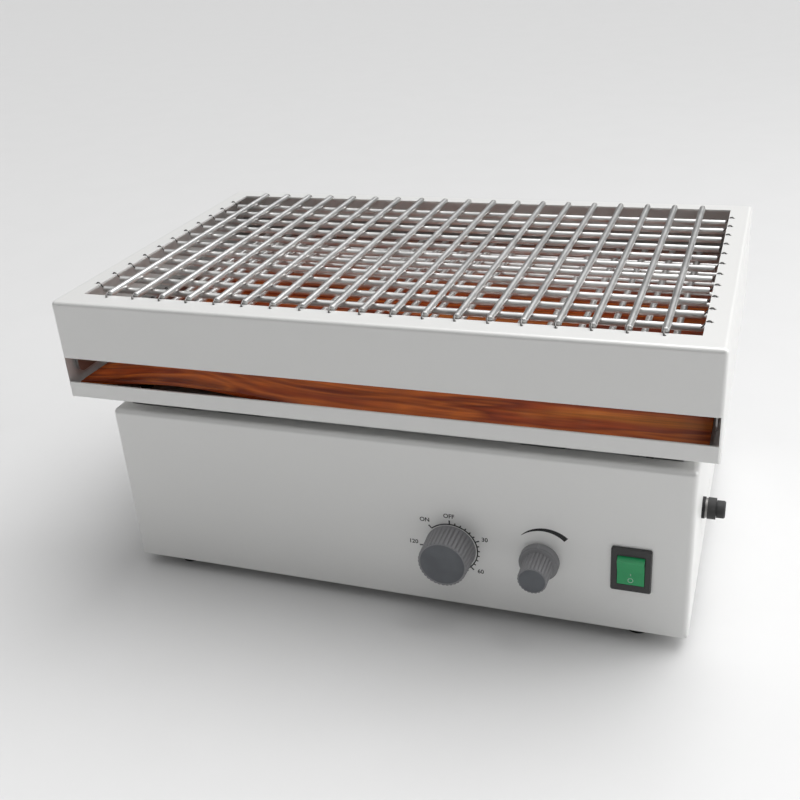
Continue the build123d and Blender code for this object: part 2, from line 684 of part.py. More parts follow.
with BuildPart() as board_standoffs:
    for x, y in standoff_places:
        polygon_bar((x, y, plate_high), (0, 0, 1), 6.0, 10.0)
        bar((x, y, plate_low), (0, 0, 1), 1.9, sheet + 0.1)
        bar((x, y, board_level - 0.1), (0, 0, 1), 1.5, 3.6)
finish(board_standoffs, "board_standoffs")

with BuildPart() as control_board:
    block(
        (board_centre[0] - 48, board_centre[1] - 36, board_level),
        (board_centre[0] + 48, board_centre[1] + 36, board_level + 1.6),
    )
    with Locations(*[(x, y, board_level) for x, y in standoff_places]):
        Cylinder(1.7, 6, mode=Mode.SUBTRACT)
finish(control_board, "control_board")

component_level = board_level + 1.6
with BuildPart() as board_transformer:
    with Locations((board_centre[0] - 20, board_centre[1], component_level)):
        Box(32, 36, 26, align=(Align.CENTER, Align.CENTER, Align.MIN))
        Box(22, 44, 18, align=(Align.CENTER, Align.CENTER, Align.MIN))
finish(board_transformer, "board_transformer")

with BuildPart() as board_heatsink:
    with Locations((board_centre[0] + 22, board_centre[1] + 20, component_level)):
        Box(34, 3, 24, align=(Align.CENTER, Align.CENTER, Align.MIN))
        with GridLocations(6, 1, 6, 1):
            Box(1.6, 16, 24, align=(Align.CENTER, Align.CENTER, Align.MIN))
finish(board_heatsink, "board_heatsink")

with BuildPart() as board_capacitors:
    for x, y in ((14, -14), (32, -14)):
        bar((board_centre[0] + x, board_centre[1] + y, component_level), (0, 0, 1), 7.0, 22.0)
finish(board_capacitors, "board_capacitors")

# ---- mechanical timer behind the large knob ----
timer_shaft_radius, knob_gap = 3.0, 0.6
timer_knob_depth, timer_knob_radius = 20.5, 18.0

with BuildPart() as timer_body:
    x, z = timer_centre
    block((x - 21, panel_back, z - 20), (x + 21, panel_back + 28, z + 20))
    bar((x, panel_back, z), (0, -1, 0), 4.9, sheet + 5.0)
    bar((x, panel_back + 24, z), (0, -1, 0), timer_shaft_radius + running_gap, 40.0, Mode.SUBTRACT)
finish(timer_body, "timer_body")

with BuildPart() as timer_shaft:
    x, z = timer_centre
    bar((x, panel_back + 23, z), (0, -1, 0), timer_shaft_radius, 23 + sheet + 15.0)
finish(timer_shaft, "timer_shaft")


def fluted_knob(centre, sections, flute_count, flute_depth, bore, recess):
    """Adds a knob about a front-to-back axis: stacked tapered discs, flutes, bore and recess."""
    x, z = centre
    reach = 0.0
    for start, length, radius, taper in sections:
        with BuildSketch(Plane(origin=(x, panel_front - start, z), z_dir=(0, -1, 0))) as disc:
            Circle(radius)
        extrude(disc.sketch, amount=length, taper=taper)
        reach = start + length
    start, length, radius, taper = sections[-1]
    for flute in range(flute_count):
        angle = 2 * pi * flute / flute_count
        flute_x, flute_z = x + (radius + 0.25) * cos(angle), z + (radius + 0.25) * sin(angle)
        bar((flute_x, panel_front - start - 1.6, flute_z), (0, -1, 0), flute_depth, length + 2,
            Mode.SUBTRACT)
    bar((x, panel_front, z), (0, -1, 0), bore, reach - 5.0, Mode.SUBTRACT)
    bar((x, panel_front, z), (0, -1, 0), recess[0], recess[1], Mode.SUBTRACT)


with BuildPart() as timer_knob:
    fluted_knob(
        timer_centre,
        ((knob_gap, timer_knob_depth - knob_gap, timer_knob_radius, 2.0),),
        36, 0.75, timer_shaft_radius, (9.0, 6.6),
    )
    with Locations((timer_centre[0], panel_front - timer_knob_depth, timer_centre[1])):
        Cylinder(13.5, 1.0, rotation=(90, 0, 0), mode=Mode.SUBTRACT)
finish(timer_knob, "timer_knob")

# ---- speed potentiometer and its small skirted knob ----
pot_shaft_radius = 3.0
speed_knob_depth, speed_cap_radius = 24.0, 10.0
speed_skirt_radius, speed_shoulder_radius = 13.4, 12.4

with BuildPart() as speed_pot:
    x, z = speed_centre
    bar((x, panel_back, z), (0, 1, 0), 12.0, 12.0)
    bar((x, panel_back, z), (0, -1, 0), 3.9, sheet + 4.6)
    block((x - 9, panel_back + 3, z - 20), (x + 9, panel_back + 6, z - 8))
    bar((x, panel_back + 10, z), (0, -1, 0), pot_shaft_radius + running_gap, 40.0, Mode.SUBTRACT)
finish(speed_pot, "speed_pot")

with BuildPart() as speed_shaft:
    x, z = speed_centre
    bar((x, panel_back + 9, z), (0, -1, 0), pot_shaft_radius, 9 + sheet + 17.0)
finish(speed_shaft, "speed_shaft")

with BuildPart() as speed_knob:
    fluted_knob(
        speed_centre,
        (
            (knob_gap, 5.0, speed_skirt_radius, 0.0),
            (knob_gap + 5.0, 3.0, speed_shoulder_radius, 22.0),
            (knob_gap + 8.0, speed_knob_depth - knob_gap - 8.0, speed_cap_radius, 1.5),
        ),
        24, 0.6, pot_shaft_radius, (8.0, 6.2),
    )
finish(speed_knob, "speed_knob")

with BuildPart() as speed_pointer:
    x, z = speed_centre
    block(
        (x - 0.7, panel_front - knob_gap - 5.4, z + speed_shoulder_radius + 0.05),
        (x + 0.7, panel_front - knob_gap - 5.0, z + speed_skirt_radius + 0.3),
    )
    block(
        (x - 0.7, panel_front - knob_gap - 5.4, z + speed_skirt_radius),
        (x + 0.7, panel_front - knob_gap, z + speed_skirt_radius + 0.3),
    )
finish(speed_pointer, "speed_pointer")

# ---- rocker switch: bezel and case, contacts, tilting rocker ----
bezel_width, bezel_height, bezel_depth = 26.2, 33.2, 2.2
rocker_half_width, rocker_reach = 8.7, 10.9
rocker_slope = 10.0
pivot_y = panel_front + 0.3
well_half_width, well_half_height, well_depth = 9.0, 11.2, 12.0

with BuildPart() as switch_case:
    x, z = switch_centre
    with BuildSketch(Plane(origin=(x, panel_front, z), x_dir=(1, 0, 0), z_dir=(0, -1, 0))) as bezel:
        RectangleRounded(bezel_width, bezel_height, 1.5)
    extrude(bezel.sketch, amount=bezel_depth)
    chamfer(switch_case.faces().sort_by(Axis.Y)[0].edges(), 0.7)
    block((x - 10.7, panel_front, z - 14.2), (x + 10.7, panel_front + 26, z + 14.2))
    block(
        (x - well_half_width, panel_front - 5, z - well_half_height),
        (x + well_half_width, panel_front + well_depth, z + well_half_height),
        Mode.SUBTRACT,
    )
finish(switch_case, "switch_case")

with BuildPart() as switch_contacts:
    x, z = switch_centre
    for drop in (-9, 0, 9):
        block((x - 3.2, panel_front + 26, z + drop - 0.4), (x + 3.2, panel_front + 36, z + drop + 0.4))
finish(switch_contacts, "switch_contacts")

with BuildPart() as switch_rocker:
    edge_rise = 14.0 * tan(radians(rocker_slope))
    tilt = radians(rocker_slope)
    tilted_plane = Plane(
        origin=(switch_centre[0] - rocker_half_width, pivot_y, switch_centre[1]),
        x_dir=(0, cos(tilt), sin(tilt)), z_dir=(1, 0, 0),
    )
    with BuildSketch(tilted_plane) as profile:
        Circle(rocker_reach)
        with BuildSketch(mode=Mode.INTERSECT):
            with BuildLine():
                Polyline(
                    (-3.2, 0), (-3.2 - edge_rise, 14.0), (3.0, 14.0),
                    (3.0, -14.0), (-3.2 - edge_rise, -14.0), close=True,
                )
            make_face()
    extrude(profile.sketch, amount=2 * rocker_half_width)
finish(switch_rocker, "switch_rocker")

# ---- fuse holder through the right wall, with a cap that carries the fuse ----
fuse_steps = {"seal": 2.1, "washer": 1.5, "head": 5.6, "cap": 6.1}
seal_end = base_right + fuse_steps["seal"]
washer_end = seal_end + fuse_steps["washer"]
head_end = washer_end + fuse_steps["head"]
cap_end = head_end + fuse_steps["cap"]

with BuildPart() as fuse_seal:
    bar((base_right, fuse_y, fuse_level), (1, 0, 0), 7.6, fuse_steps["seal"])
    bar((base_right - 1, fuse_y, fuse_level), (1, 0, 0), 6.1, 10.0, Mode.SUBTRACT)
finish(fuse_seal, "fuse_seal")

with BuildPart() as fuse_washer:
    bar((seal_end, fuse_y, fuse_level), (1, 0, 0), 6.9, fuse_steps["washer"])
    bar((seal_end - 1, fuse_y, fuse_level), (1, 0, 0), 6.1, 10.0, Mode.SUBTRACT)
finish(fuse_washer, "fuse_washer")

with BuildPart() as fuse_holder:
    bar((washer_end, fuse_y, fuse_level), (1, 0, 0), 7.5, fuse_steps["head"])
    bar((washer_end, fuse_y, fuse_level), (-1, 0, 0), 6.0, 30.0)
    bar((head_end + 1, fuse_y, fuse_level), (-1, 0, 0), 5.2, 12.0, Mode.SUBTRACT)
    bar((head_end + 1, fuse_y, fuse_level), (-1, 0, 0), 3.2, 27.0, Mode.SUBTRACT)
finish(fuse_holder, "fuse_holder")

# each nut: a point on the axis where it starts, the axis, thread radius, width over flats, height
nuts = [
    ((timer_centre[0], panel_front, timer_centre[1]), (0, -1, 0), 4.9, 14.0, 3.0),
    ((speed_centre[0], panel_front, speed_centre[1]), (0, -1, 0), 3.9, 11.0, 2.5),
    ((base_right - sheet, fuse_y, fuse_level), (-1, 0, 0), 6.0, 15.0, 3.0),
] + [((x, y, plate_high), (0, 0, 1), 2.5, 8.0, 4.0) for x, y in foot_places]

with BuildPart() as hex_nuts:
    for start, axis, thread, flats, height in nuts:
        polygon_bar(start, axis, flats, height)
        bar(start, axis, thread, height, Mode.SUBTRACT)
finish(hex_nuts, "hex_nuts")

with BuildPart() as fuse_cap:
    bar((head_end + 0.3, fuse_y, fuse_level), (1, 0, 0), 6.1, fuse_steps["cap"] - 0.3)
    chamfer(fuse_cap.faces().sort_by(Axis.X)[-1].edges(), 0.8)
    bar((head_end + 0.4, fuse_y, fuse_level), (-1, 0, 0), 4.9, 9.0)
    block(
        (cap_end - 1.4, fuse_y - 0.7, fuse_level - 4.5), (cap_end + 1, fuse_y + 0.7, fuse_level + 4.5),
        Mode.SUBTRACT,
    )
    bar((head_end - 9.0, fuse_y, fuse_level), (1, 0, 0), 2.6, 6.0, Mode.SUBTRACT)
finish(fuse_cap, "fuse_cap")

with BuildPart() as glass_fuse:
    bar((head_end - 3.2, fuse_y, fuse_level), (-1, 0, 0), 2.5, 20.0)
finish(glass_fuse, "glass_fuse")

# ---- power inlet in the back wall ----
inlet_pin_places = ((-7, -2), (0, 2), (7, -2))

with BuildPart() as power_inlet:
    block((inlet_x - 25, base_back, inlet_z - 11.5), (inlet_x + 25, base_back + 2.4, inlet_z + 11.5))
    fillet(power_inlet.edges().filter_by(Axis.Y), 4.0)
    block((inlet_x - 13.5, base_back - 18, inlet_z - 9.5), (inlet_x + 13.5, base_back + 1, inlet_z + 9.5))
    block((inlet_x - 12, base_back - 15, inlet_z - 8), (inlet_x + 12, base_back + 3, inlet_z + 8), Mode.SUBTRACT)
    for x, z in inlet_pin_places:
        block(
            (inlet_x + x - 1, base_back - 26, inlet_z + z - 2),
            (inlet_x + x + 1, base_back - 2, inlet_z + z + 2),
            Mode.SUBTRACT,
        )
    for side in (-1, 1):
        bar((inlet_x + side * 20, base_back - 1, inlet_z), (0, 1, 0), 1.7, 6, Mode.SUBTRACT)
finish(power_inlet, "power_inlet")

with BuildPart() as inlet_pins:
    for x, z in inlet_pin_places:
        block(
            (inlet_x + x - 1, base_back - 26, inlet_z + z - 2),
            (inlet_x + x + 1, base_back - 2, inlet_z + z + 2),
        )
finish(inlet_pins, "inlet_pins")

with BuildPart() as inlet_screws:
    for side in (-1, 1):
        bar((inlet_x + side * 20, base_back + 2.4, inlet_z), (0, 1, 0), 2.6, 1.2)
        bar((inlet_x + side * 20, base_back + 2.5, inlet_z), (0, -1, 0), 1.55, 8.0)
finish(inlet_screws, "inlet_screws")
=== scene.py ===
"""Looks of a bench-top reciprocating shaker with a deck of tension springs over a boxed base."""

import json
import logging
import math
from dataclasses import dataclass, field
from enum import Enum
from typing import Callable

import bmesh
import bpy
import numpy as np
from mathutils import Matrix, Vector

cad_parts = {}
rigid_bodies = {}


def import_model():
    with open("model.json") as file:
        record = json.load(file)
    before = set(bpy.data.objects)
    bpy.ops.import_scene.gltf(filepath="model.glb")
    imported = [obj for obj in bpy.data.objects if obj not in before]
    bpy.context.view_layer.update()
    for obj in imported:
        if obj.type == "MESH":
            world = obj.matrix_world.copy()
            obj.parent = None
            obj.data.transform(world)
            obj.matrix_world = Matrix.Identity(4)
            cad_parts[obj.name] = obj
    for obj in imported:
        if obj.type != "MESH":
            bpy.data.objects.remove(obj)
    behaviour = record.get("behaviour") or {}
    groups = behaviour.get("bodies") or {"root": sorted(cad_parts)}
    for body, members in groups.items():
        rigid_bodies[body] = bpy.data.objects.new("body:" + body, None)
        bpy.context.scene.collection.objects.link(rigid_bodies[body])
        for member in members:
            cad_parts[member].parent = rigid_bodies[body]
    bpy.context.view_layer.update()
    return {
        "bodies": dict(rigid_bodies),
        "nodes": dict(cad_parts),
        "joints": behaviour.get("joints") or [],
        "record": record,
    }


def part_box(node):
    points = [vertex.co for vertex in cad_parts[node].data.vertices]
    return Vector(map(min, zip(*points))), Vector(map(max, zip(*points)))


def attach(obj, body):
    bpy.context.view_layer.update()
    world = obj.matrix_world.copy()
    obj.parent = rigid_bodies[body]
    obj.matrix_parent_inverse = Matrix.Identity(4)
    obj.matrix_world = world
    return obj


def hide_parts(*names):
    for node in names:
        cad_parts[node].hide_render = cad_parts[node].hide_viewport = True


LOG = logging.getLogger("shaker")
MM = 0.001
WELD = 0.001 * MM


# ---------------------------------------------------------------- meshes


def make_piece(name: str, points: np.ndarray, quads: np.ndarray, smooth: bool = True,
               finish_index: np.ndarray | None = None) -> bpy.types.Object:
    """Puts whole arrays of points and four-cornered faces into a new mesh object.

    Points that lie on one another are welded, so a row of no width becomes one closed pole.

    Args:
        name: the piece's name.
        points: an N by 3 array, in metres.
        quads: an M by 4 array of point numbers, wound so that faces point outwards.
        smooth: whether faces are shaded smooth.
        finish_index: the number of each face's finish, or nothing where all have the first.

    Returns:
        The new object, at the origin.
    """
    mesh = bpy.data.meshes.new(name)
    mesh.vertices.add(len(points))
    mesh.vertices.foreach_set("co", np.ascontiguousarray(points, dtype=np.float32).ravel())
    mesh.loops.add(quads.size)
    mesh.loops.foreach_set("vertex_index", quads.astype(np.int32).ravel())
    mesh.polygons.add(len(quads))
    mesh.polygons.foreach_set("loop_start", np.arange(0, quads.size, 4, dtype=np.int32))
    mesh.polygons.foreach_set("loop_total", np.full(len(quads), 4, dtype=np.int32))
    mesh.polygons.foreach_set("use_smooth", np.full(len(quads), smooth))
    if finish_index is not None:
        mesh.polygons.foreach_set("material_index", finish_index.astype(np.int32))
    mesh.update(calc_edges=True)
    welded = bmesh.new()
    welded.from_mesh(mesh)
    bmesh.ops.remove_doubles(welded, verts=welded.verts, dist=WELD)
    welded.to_mesh(mesh)
    welded.free()
    piece = bpy.data.objects.new(name, mesh)
    bpy.context.scene.collection.objects.link(piece)
    return piece


def grid_quads(rows: int, columns: int, wrap: bool) -> np.ndarray:
    """Numbers the faces of a grid of points, row after row.

    Args:
        rows: number of rows of points.
        columns: number of points in a row.
        wrap: whether the last column joins the first, as round a tube.

    Returns:
        An array of faces, four point numbers each.
    """
    row = np.arange(rows - 1)[:, None]
    column = np.arange(columns if wrap else columns - 1)[None, :]
    after = (column + 1) % columns
    corners = [row * columns + column, row * columns + after]
    corners += [(row + 1) * columns + after, (row + 1) * columns + column]
    return np.stack(np.broadcast_arrays(*corners), axis=-1).reshape(-1, 4)


def repeat_shape(points: np.ndarray, quads: np.ndarray, places: np.ndarray) -> tuple[np.ndarray, np.ndarray]:
    """Copies one shape to many places: every point plus every place.

    Args:
        points: the shape's points, N by 3.
        quads: the shape's faces.
        places: the shifts, K by 3.

    Returns:
        The joined points and faces.
    """
    moved = (places[:, None, :] + points[None, :, :]).reshape(-1, 3)
    numbered = (quads[None] + (np.arange(len(places)) * len(points))[:, None, None]).reshape(-1, 4)
    return moved, numbered


def join_shapes(shapes: list[tuple[np.ndarray, np.ndarray]]) -> tuple[np.ndarray, np.ndarray]:
    """Joins several pairs of points and faces into one pair."""
    starts = np.cumsum([0] + [len(points) for points, _ in shapes[:-1]])
    return (
        np.concatenate([points for points, _ in shapes]),
        np.concatenate([quads + start for (_, quads), start in zip(shapes, starts)]),
    )


def tube(path: np.ndarray, radius: np.ndarray | float, sides: int) -> tuple[np.ndarray, np.ndarray]:
    """Carries a circle along a path: centre(s) + r(s)(cos a * side(s) + sin a * up(s)), with closed ends.

    Args:
        path: the points of the centre line, N by 3.
        radius: the tube's radius, one value or one for each point.
        sides: points round the circle.

    Returns:
        The tube's points and faces. Each end closes on a row of no width.
    """
    along = np.gradient(path, axis=0)
    along /= np.linalg.norm(along, axis=1, keepdims=True)
    flat = np.linalg.svd(path - path.mean(axis=0), full_matrices=True)[2][2]
    side = np.cross(along, flat)
    side /= np.linalg.norm(side, axis=1, keepdims=True)
    up = np.cross(along, side)
    angle = np.linspace(0, 2 * np.pi, sides, endpoint=False)
    reach = np.broadcast_to(np.asarray(radius, dtype=float), (len(path),))
    ring = np.cos(angle)[None, :, None] * side[:, None, :] + np.sin(angle)[None, :, None] * up[:, None, :]
    points = path[:, None, :] + reach[:, None, None] * ring
    ends = [np.repeat(path[k][None, None], sides, axis=1) for k in (0, -1)]
    points = np.concatenate([ends[0], points, ends[1]])
    return points.reshape(-1, 3), grid_quads(len(points), sides, wrap=True)


# ---------------------------------------------------------------- finishes


class Nodes:
    """A short way to build one material's node tree around a Principled shader."""

    def __init__(self, name: str) -> None:
        """Starts a material with its Principled shader."""
        self.material = bpy.data.materials.new(name)
        self.material.use_nodes = True
        self.tree = self.material.node_tree
        self.shader = self.tree.nodes["Principled BSDF"]
        self.coordinates = self.add("ShaderNodeTexCoord").outputs["Object"]

    def add(self, kind: str, **settings: object) -> bpy.types.Node:
        """Adds a node and sets its properties."""
        node = self.tree.nodes.new(kind)
        for key, value in settings.items():
            setattr(node, key, value)
        return node

    def link(self, source: bpy.types.NodeSocket, target: bpy.types.NodeSocket) -> None:
        """Joins two sockets."""
        self.tree.links.new(source, target)

    def stretched(self, scale: tuple[float, float, float]) -> bpy.types.NodeSocket:
        """Returns object coordinates, scaled along each axis."""
        mapping = self.add("ShaderNodeMapping")
        mapping.inputs["Scale"].default_value = scale
        self.link(self.coordinates, mapping.inputs["Vector"])
        return mapping.outputs["Vector"]

    def noise(self, scale: float, detail: float, vector: bpy.types.NodeSocket | None = None,
              waver: float = 0.0) -> bpy.types.NodeSocket:
        """Returns a noise value over object coordinates, or over a given vector, bent by waver."""
        texture = self.add("ShaderNodeTexNoise")
        texture.inputs["Scale"].default_value = scale
        texture.inputs["Detail"].default_value = detail
        texture.inputs["Distortion"].default_value = waver
        self.link(vector or self.coordinates, texture.inputs["Vector"])
        return texture.outputs["Fac"]

    def ramp(self, value: bpy.types.NodeSocket,
             stops: list[tuple[float, tuple[float, float, float]]]) -> bpy.types.NodeSocket:
        """Turns a value into a colour through stops of position and colour."""
        node = self.add("ShaderNodeValToRGB")
        elements = node.color_ramp.elements
        while len(elements) < len(stops):
            elements.new(0.5)
        for element, (position, colour) in zip(elements, stops):
            element.position = position
            element.color = (*colour, 1.0)
        self.link(value, node.inputs["Fac"])
        return node.outputs["Color"]

    def spread(self, value: bpy.types.NodeSocket, low: float, high: float) -> bpy.types.NodeSocket:
        """Maps a value from 0..1 to a low..high range."""
        node = self.add("ShaderNodeMapRange")
        node.inputs["To Min"].default_value = low
        node.inputs["To Max"].default_value = high
        self.link(value, node.inputs["Value"])
        return node.outputs["Result"]

    def bump(self, height: bpy.types.NodeSocket, strength: float, distance: float) -> None:
        """Gives the shader a bump from a height, on top of any it has."""
        node = self.add("ShaderNodeBump")
        node.inputs["Strength"].default_value = strength
        node.inputs["Distance"].default_value = distance
        self.link(height, node.inputs["Height"])
        for link in list(self.shader.inputs["Normal"].links):
            self.link(link.from_socket, node.inputs["Normal"])
        self.link(node.outputs["Normal"], self.shader.inputs["Normal"])

    def set(self, **values: object) -> None:
        """Sets constant values on the shader's own sockets."""
        for key, value in values.items():
            self.shader.inputs[key.replace("_", " ")].default_value = value


@dataclass(frozen=True)
class PowderCoat:
    """Baked paint with a fine leathery texture and faint soiling."""

    name: str
    colour: tuple[float, float, float]
    grain: float = 1500.0
    depth: float = 0.00012
    soil: float = 0.07

    def make(self) -> bpy.types.Material:
        """Builds the material."""
        nodes = Nodes(self.name)
        soil = nodes.noise(14.0, 6.0)
        shade = tuple((1 - self.soil) * c for c in self.colour)
        nodes.link(nodes.ramp(soil, [(0.35, shade), (0.6, self.colour)]), nodes.shader.inputs["Base Color"])
        nodes.link(nodes.spread(nodes.noise(300.0, 4.0), 0.38, 0.56), nodes.shader.inputs["Roughness"])
        nodes.bump(nodes.noise(self.grain, 3.0), 0.35, self.depth)
        nodes.bump(nodes.noise(self.grain / 4, 2.0), 0.15, self.depth)
        nodes.set(IOR=1.5)
        return nodes.material


@dataclass(frozen=True)
class LacqueredBoard:
    """Glossy reddish-brown wood: long wavering bands with fine dark pores."""

    name: str

    def make(self) -> bpy.types.Material:
        """Builds the material."""
        nodes = Nodes(self.name)
        bands = nodes.noise(1.0, 3.0, nodes.stretched((3.4, 19.0, 60.0)), 0.9)
        colour = nodes.ramp(bands, [
            (0.32, (0.070, 0.011, 0.002)), (0.42, (0.270, 0.038, 0.006)), (0.49, (0.560, 0.135, 0.018)),
            (0.54, (0.230, 0.030, 0.005)), (0.60, (0.420, 0.070, 0.010)), (0.70, (0.680, 0.215, 0.035)),
        ])
        pores = nodes.noise(1.0, 6.0, nodes.stretched((14.0, 260.0, 260.0)))
        mix = nodes.add("ShaderNodeMix", data_type="RGBA", blend_type="MULTIPLY")
        mix.inputs["Factor"].default_value = 0.6
        nodes.link(colour, mix.inputs["A"])
        nodes.link(nodes.ramp(pores, [(0.36, (0.45, 0.36, 0.32)), (0.55, (1.0, 1.0, 1.0))]), mix.inputs["B"])
        nodes.link(mix.outputs["Result"], nodes.shader.inputs["Base Color"])
        nodes.link(nodes.spread(nodes.noise(60.0, 4.0), 0.26, 0.42), nodes.shader.inputs["Roughness"])
        nodes.bump(pores, 0.08, 0.0001)
        nodes.set(Coat_Weight=0.08, Coat_Roughness=0.1, Specular_IOR_Level=0.22)
        return nodes.material


@dataclass(frozen=True)
class Metal:
    """Plated, ground or milled metal: smears of tone and fine scratches along one axis."""

    name: str
    colour: tuple[float, float, float]
    roughness: tuple[float, float]
    brushed: tuple[float, float, float] = (60.0, 900.0, 900.0)
    depth: float = 0.00003

    def make(self) -> bpy.types.Material:
        """Builds the material."""
        nodes = Nodes(self.name)
        dull = tuple(0.78 * c for c in self.colour)
        nodes.link(nodes.ramp(nodes.noise(40.0, 6.0), [(0.35, dull), (0.62, self.colour)]),
                   nodes.shader.inputs["Base Color"])
        scratches = nodes.noise(1.0, 5.0, nodes.stretched(self.brushed))
        nodes.link(nodes.spread(scratches, *self.roughness), nodes.shader.inputs["Roughness"])
        nodes.bump(scratches, 0.25, self.depth)
        nodes.set(Metallic=1.0)
        return nodes.material


@dataclass(frozen=True)
class Moulding:
    """Moulded plastic or rubber: a fine spark-eroded grain and slight blotches."""

    name: str
    colour: tuple[float, float, float]
    roughness: tuple[float, float] = (0.4, 0.6)
    grain: float = 1800.0
    depth: float = 0.00006
    coat: float = 0.0
    transmission: float = 0.0
    specular: float = 0.5

    def make(self) -> bpy.types.Material:
        """Builds the material."""
        nodes = Nodes(self.name)
        worn = tuple(min(1.0, 1.25 * c + 0.004) for c in self.colour)
        nodes.link(nodes.ramp(nodes.noise(55.0, 7.0), [(0.40, self.colour), (0.72, worn)]),
                   nodes.shader.inputs["Base Color"])
        nodes.link(nodes.spread(nodes.noise(220.0, 4.0), *self.roughness), nodes.shader.inputs["Roughness"])
        nodes.bump(nodes.noise(self.grain, 2.0), 0.3, self.depth)
        nodes.set(Coat_Weight=self.coat, Transmission_Weight=self.transmission,
                  Specular_IOR_Level=self.specular)
        return nodes.material


class Finish(Enum):
    """The finishes of the machine, each with its recipe."""

    DECK_PAINT = PowderCoat("deck_paint", (0.50, 0.50, 0.495))
    BASE_PAINT = PowderCoat("base_paint", (0.60, 0.615, 0.63))
    BOARD = LacqueredBoard("lacquered_board")
    SPRING = Metal("spring_plating", (0.88, 0.88, 0.87), (0.32, 0.42), (150.0, 150.0, 150.0), 0.0)
    HOOK = Metal("hook_wire", (0.20, 0.195, 0.19), (0.25, 0.40), (200.0, 200.0, 200.0), 0.00001)
    PLATED_SHEET = Metal("plated_sheet", (0.40, 0.39, 0.38), (0.35, 0.55), (50.0, 700.0, 700.0))
    MILLED = Metal("milled_aluminium", (0.70, 0.70, 0.71), (0.28, 0.42))
    GROUND = Metal("ground_steel", (0.60, 0.60, 0.61), (0.12, 0.25), (1500.0, 80.0, 80.0))
    SCREW = Metal("zinc_plating", (0.68, 0.68, 0.64), (0.25, 0.42), (500.0, 500.0, 500.0))
    CAST = Metal("turned_casting", (0.48, 0.48, 0.48), (0.35, 0.6), (400.0, 400.0, 900.0))
    MOTOR_PAINT = PowderCoat("motor_paint", (0.07, 0.08, 0.09), 900.0)
    BRASS = Metal("plated_brass", (0.80, 0.62, 0.32), (0.2, 0.4), (400.0, 400.0, 400.0))
    RUBBER = Moulding("black_rubber", (0.012, 0.012, 0.013), (0.65, 0.85), 900.0, 0.0001)
    DARK_PLASTIC = Moulding("dark_plastic", (0.008, 0.008, 0.009), (0.34, 0.48), specular=0.3)
    SWITCH_BLACK = Moulding("switch_black", (0.005, 0.005, 0.006), (0.25, 0.38), specular=0.25)
    KNOB = Moulding("knob_grey", (0.165, 0.170, 0.178), (0.42, 0.58))
    # Painted shade: the knob's front face gets a darker grey than its grip because it faces away from the
    # light.
    KNOB_FACE = Moulding("knob_face_painted_shade", (0.125, 0.133, 0.145), (0.34, 0.46), specular=0.3)
    POINTER = Moulding("pale_pointer", (0.24, 0.245, 0.25), (0.4, 0.5))
    ROCKER = Moulding("rocker_green", (0.0005, 0.135, 0.045), (0.10, 0.18), 400.0, 0.00002, 0.35,
                      specular=0.3)
    BOARD_GREEN = Moulding("circuit_green", (0.015, 0.11, 0.04), (0.25, 0.4), coat=0.4)
    GLASS = Moulding("fuse_glass", (0.9, 0.9, 0.9), (0.03, 0.08), 300.0, 0.00001, 0.5, 0.8)
    INK = Moulding("dark_ink", (0.005, 0.005, 0.006), (0.45, 0.6), 900.0, 0.00002)
    SIGN = Moulding("sign_white", (0.40, 0.62, 0.50), (0.4, 0.5), 900.0, 0.00002)
    FLOOR = PowderCoat("pale_floor", (0.68, 0.68, 0.68), 40.0, 0.0, 0.01)

    @property
    def material(self) -> bpy.types.Material:
        """The finish's material, made once."""
        return bpy.data.materials.get(self.value.name) or self.value.make()


TIMER_PROFILE = (
    (0.6, 0.0, 0.0), (0.6, 15.2, 0.0), (0.5, 15.5, 0.0), (0.02, 15.9, 0.0), (0.0, 16.4, 0.1),
    (0.15, 16.9, 0.6),
    (0.6, 17.15, 1.0), (1.2, 17.2, 1.0), (8.0, 17.5, 1.0), (15.0, 17.8, 1.0), (18.4, 17.9, 1.0),
    (19.0, 17.95, 0.3), (19.3, 18.0, 0.0), (20.4, 18.0, 0.0), (20.5, 17.8, 0.0), (20.5, 0.0, 0.0),
)
SPEED_PROFILE = (
    (0.3, 0.0, 0.0), (0.3, 8.5, 0.0), (0.02, 8.8, 0.0), (0.0, 9.2, 0.1), (0.2, 9.7, 0.6), (0.6, 9.9, 1.0),
    (6.0, 10.0, 1.0), (14.0, 10.2, 1.0), (17.6, 10.3, 0.9), (17.8, 10.6, 0.2), (17.9, 10.9, 0.0),
    (18.3, 12.2, 0.0), (18.8, 12.4, 0.0), (19.0, 13.2, 0.0), (19.3, 13.4, 0.0), (23.9, 13.4, 0.0),
    (24.0, 13.2, 0.0), (24.0, 0.0, 0.0),
)


def settle(piece: bpy.types.Object, finish: Finish, body: str) -> bpy.types.Object:
    """Gives a new piece its finish and its body, and logs it."""
    piece.data.materials.append(finish.material)
    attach(piece, body)
    LOG.info("piece %s rides on %s, %d faces", piece.name, body, len(piece.data.polygons))
    return piece


# ---------------------------------------------------------------- sub-assemblies


